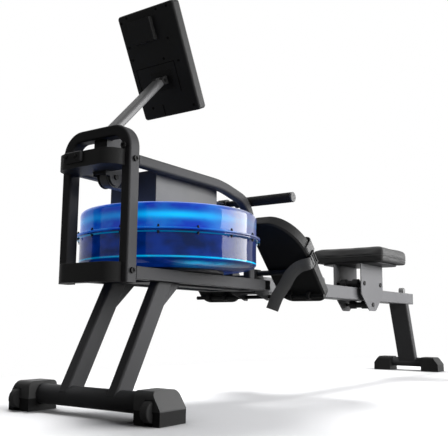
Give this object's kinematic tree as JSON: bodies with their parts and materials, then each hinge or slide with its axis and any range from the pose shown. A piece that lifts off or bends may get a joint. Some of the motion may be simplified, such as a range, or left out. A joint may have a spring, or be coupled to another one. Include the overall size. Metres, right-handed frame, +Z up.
{
  "type": "rowing machine",
  "caption": "Water-resistance rowing machine: round blue tank in a tube frame, pull handle on a strap, sliding seat on a rail, tilting footplates and a monitor on an arm.",
  "frame": {"origin": "floor, under the middle of the machine's length and width", "axes": "+X from the tank towards the rear end of the seat rail, +Y across the machine, +Z up"},
  "size_m": [2.183, 0.4956, 1.0641],
  "materials": {
    "frame_paint": "matte black powder coat",
    "cover_plastic": "fine moulded grain",
    "roller_plastic": "moulded",
    "tank_shell": "clear blue polycarbonate",
    "water": "still water",
    "rubber_black": "matte",
    "plug_plastic": "moulded",
    "steel": "dark zinc",
    "screen": "gloss window",
    "button_rubber": "matte",
    "grip_foam": "foam",
    "cap_grey": "satin",
    "webbing": "woven nylon",
    "rail_metal": "satin grey",
    "seat_vinyl": "grained vinyl"
  },
  "bodies": {
    "frame": {"front_stabilizer_tube": "frame_paint", "front_leg_right": "frame_paint", "front_leg_left": "frame_paint", "base_frame": "frame_paint", "front_hoop": "frame_paint", "top_tube_right": "frame_paint", "top_tube_left": "frame_paint", "pulley_mast": "frame_paint", "drive_housing": "frame_paint", "tank_cradle": "frame_paint", "monitor_arm": "frame_paint", "handle_hooks": "frame_paint", "pedal_bracket": "frame_paint", "rear_leg": "frame_paint", "rear_stabilizer_tube": "frame_paint", "base_front_bar": "cover_plastic", "pulley_guard": "cover_plastic", "front_foot_right": "cover_plastic", "front_foot_left": "cover_plastic", "rear_feet": "cover_plastic", "rail_end_cap": "cover_plastic", "tank_lower_shell": "tank_shell", "tank_upper_shell": "tank_shell", "tank_water": "water", "tank_seal": "rubber_black", "seat_stops": "rubber_black", "pulley_axle": "steel", "frame_bolts": "steel", "tank_screws": "steel", "shaft_bearings": "steel", "monitor_hinge_pin": "steel", "pedal_axle": "steel", "drive_strap": "webbing", "seat_rail": "rail_metal"},
    "seat": {"seat_pad": "seat_vinyl", "seat_pan": "frame_paint", "carriage_plates": "rail_metal", "roller_axles": "steel"},
    "front_roller": {"front_roller": "roller_plastic"},
    "rear_roller": {"rear_roller": "roller_plastic"},
    "lower_roller": {"lower_roller": "roller_plastic"},
    "handle": {"handle_bar": "steel", "handle_grips": "grip_foam", "handle_end_caps": "cap_grey", "handle_yoke": "roller_plastic"},
    "front_pulley": {"front_pulley": "roller_plastic"},
    "strap_drum": {"strap_drum": "roller_plastic"},
    "impeller": {"impeller": "roller_plastic"},
    "pedal_right": {"footplate_right": "cover_plastic", "foot_strap_right": "webbing"},
    "pedal_left": {"footplate_left": "cover_plastic", "foot_strap_left": "webbing"},
    "monitor": {"monitor_case": "cover_plastic", "monitor_screen": "screen"},
    "button_right": {"monitor_button_right": "button_rubber"},
    "button_middle": {"monitor_button_middle": "button_rubber"},
    "button_left": {"monitor_button_left": "button_rubber"},
    "wheel_right": {"transport_wheel_right": "rubber_black"},
    "wheel_left": {"transport_wheel_left": "rubber_black"},
    "fill_plug": {"fill_plug": "plug_plastic"}
  },
  "joints": [
    {"name": "seat_slide", "type": "slide", "parent": "frame", "child": "seat", "axis": [1, 0, 0], "range_m": [-0.21, 0.36]},
    {"name": "front_roller_spin", "type": "hinge", "parent": "seat", "child": "front_roller", "pos_m": [0.402, 0, 0.3789], "axis": [0, 1, 0], "continuous": true},
    {"name": "rear_roller_spin", "type": "hinge", "parent": "seat", "child": "rear_roller", "pos_m": [0.569, 0, 0.3789], "axis": [0, 1, 0], "continuous": true},
    {"name": "lower_roller_spin", "type": "hinge", "parent": "seat", "child": "lower_roller", "pos_m": [0.4855, 0, 0.2947], "axis": [0, 1, 0], "continuous": true},
    {"name": "handle_pull", "type": "slide", "parent": "frame", "child": "handle", "axis": [1, 0, 0], "range_m": [0, 1], "deforming": ["drive_strap"]},
    {"name": "front_pulley_spin", "type": "hinge", "parent": "frame", "child": "front_pulley", "pos_m": [-0.9965, 0, 0.5637], "axis": [0, 1, 0], "continuous": true},
    {"name": "drum_spin", "type": "hinge", "parent": "frame", "child": "strap_drum", "pos_m": [-0.7635, 0, 0.5397], "axis": [0, 0, 1], "continuous": true},
    {"name": "impeller_spin", "type": "hinge", "parent": "frame", "child": "impeller", "pos_m": [-0.7635, 0, 0.4417], "axis": [0, 0, 1], "continuous": true},
    {"name": "pedal_right_tilt", "type": "hinge", "parent": "frame", "child": "pedal_right", "pos_m": [-0.3145, -0.156, 0.298], "axis": [0, 1, 0], "range_deg": [0, 7]},
    {"name": "pedal_left_tilt", "type": "hinge", "parent": "frame", "child": "pedal_left", "pos_m": [-0.3145, 0.156, 0.298], "axis": [0, 1, 0], "range_deg": [0, 7]},
    {"name": "monitor_tilt", "type": "hinge", "parent": "frame", "child": "monitor", "pos_m": [-0.817, 0, 0.8688], "axis": [0, 1, 0], "range_deg": [-12, 15]},
    {"name": "wheel_right_spin", "type": "hinge", "parent": "frame", "child": "wheel_right", "pos_m": [-1.0675, -0.212, 0.029], "axis": [0, 1, 0], "continuous": true},
    {"name": "wheel_left_spin", "type": "hinge", "parent": "frame", "child": "wheel_left", "pos_m": [-1.0675, 0.212, 0.029], "axis": [0, 1, 0], "continuous": true},
    {"name": "fill_plug_lift", "type": "slide", "parent": "frame", "child": "fill_plug", "axis": [0, 0, 1], "range_m": [0, 0.03]},
    {"name": "button_right_press", "type": "slide", "parent": "monitor", "child": "button_right", "axis": [-0.8973, 0, -0.4415], "range_m": [0, 0.0015], "stiffness_N_per_m": 900},
    {"name": "button_middle_press", "type": "slide", "parent": "monitor", "child": "button_middle", "axis": [-0.8973, 0, -0.4415], "range_m": [0, 0.0015], "stiffness_N_per_m": 900},
    {"name": "button_left_press", "type": "slide", "parent": "monitor", "child": "button_left", "axis": [-0.8973, 0, -0.4415], "range_m": [0, 0.0015], "stiffness_N_per_m": 900}
  ],
  "couplings": [
    {"joint": "front_roller_spin", "follows": "seat_slide", "rad_per_m": 56.818},
    {"joint": "rear_roller_spin", "follows": "seat_slide", "rad_per_m": 56.818},
    {"joint": "lower_roller_spin", "follows": "seat_slide", "rad_per_m": -62.5},
    {"joint": "front_pulley_spin", "follows": "handle_pull", "rad_per_m": 45.249},
    {"joint": "drum_spin", "follows": "handle_pull", "rad_per_m": 33.223}
  ]
}
